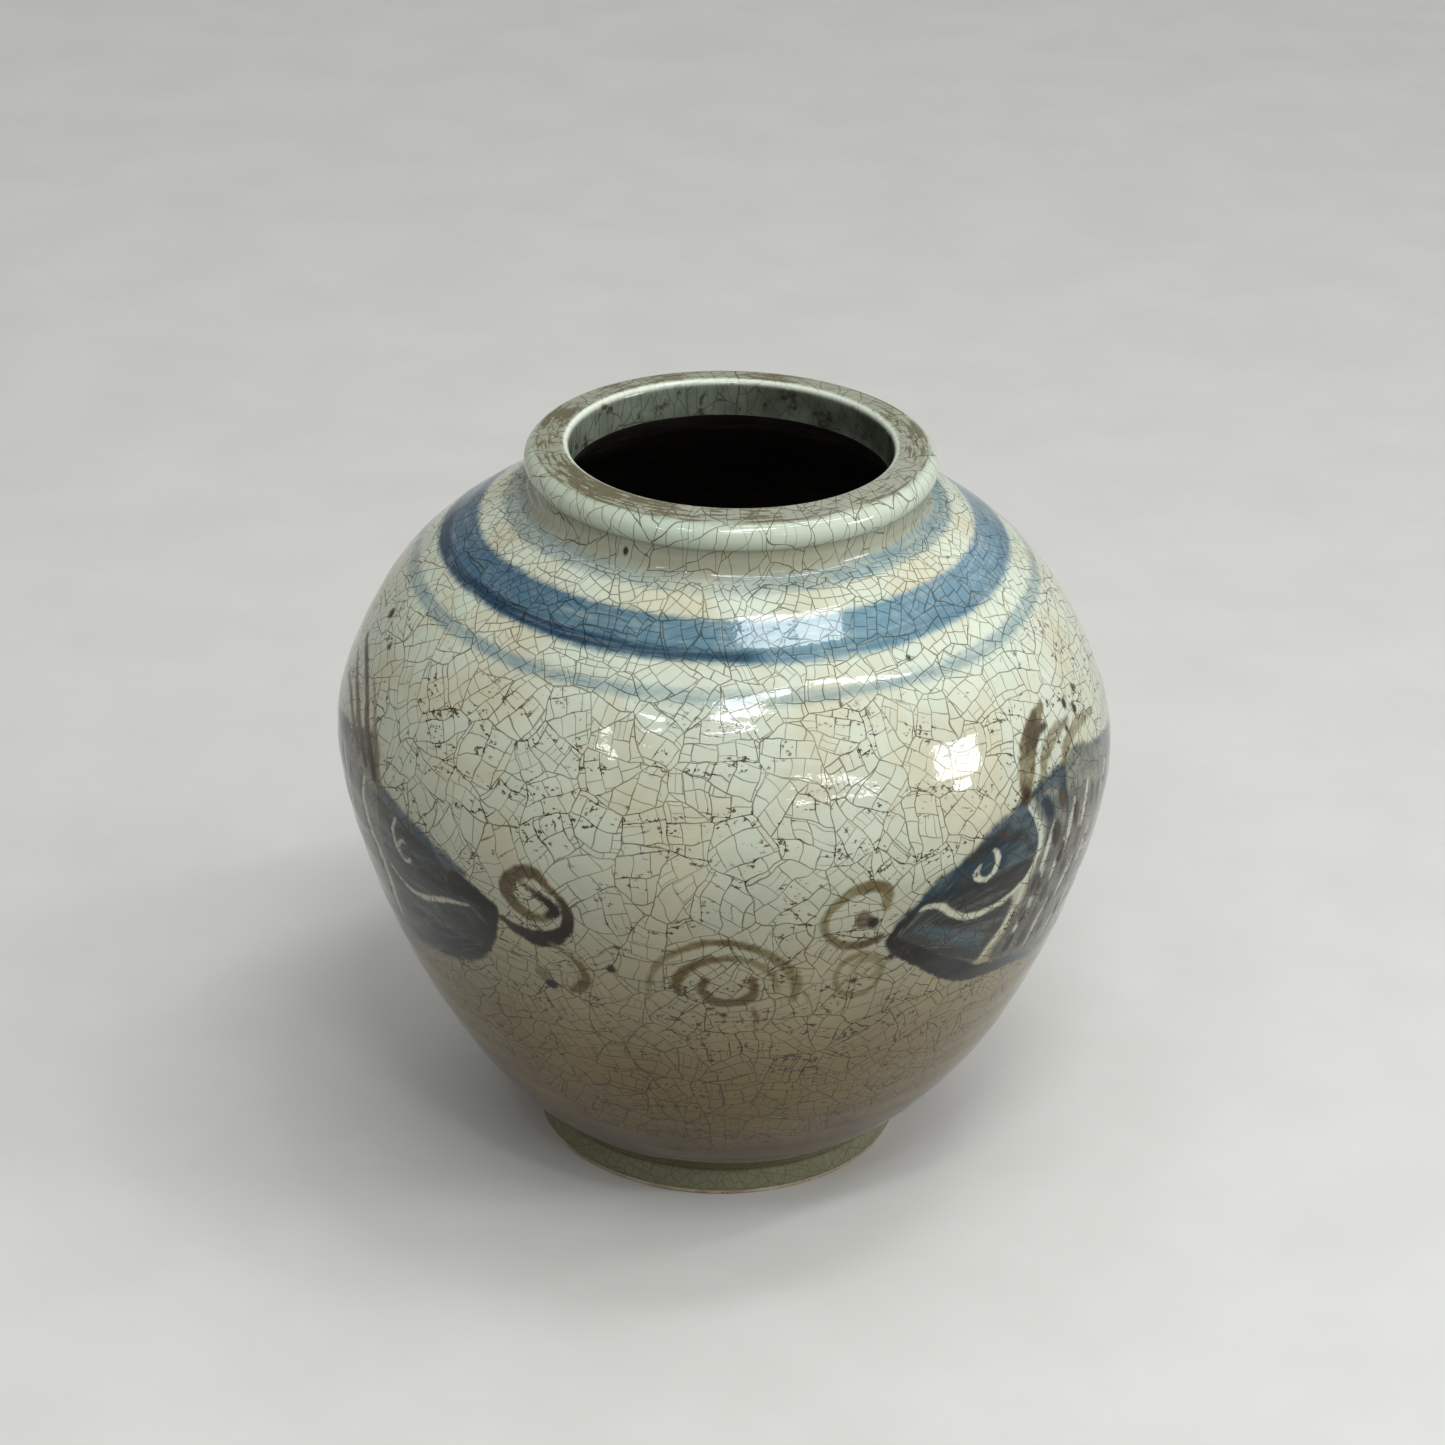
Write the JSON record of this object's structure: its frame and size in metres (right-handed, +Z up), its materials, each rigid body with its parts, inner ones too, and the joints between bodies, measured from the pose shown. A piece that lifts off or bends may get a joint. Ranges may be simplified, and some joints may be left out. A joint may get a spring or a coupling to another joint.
{
  "type": "ginger jar",
  "caption": "Open ginger jar with a rolled lip, short neck, broad shoulder, tapering body and low foot ring, in crackled glaze with brush-painted bands, rings and fish.",
  "frame": {"origin": "centre of the foot ring's resting plane", "axes": "+Z up along the jar's axis, -Y towards the side painted with the two facing fish heads, +X to the right of that side"},
  "size_m": [0.24, 0.24, 0.232],
  "materials": {
    "clay": "unglazed fired stoneware",
    "glaze": "glossy crackled celadon-white glaze over blue and brown brush painting",
    "slip": "dark iron slip with a dull sheen"
  },
  "bodies": {
    "root": {"foot_ring": "clay", "base_disc": "clay", "lower_wall": "clay", "belly_wall": "clay", "shoulder_wall": "clay", "crown_wall": "clay", "neck_collar": "clay", "lip_ring": "clay", "outer_glaze": "glaze", "inner_slip": "slip"}
  },
  "joints": []
}
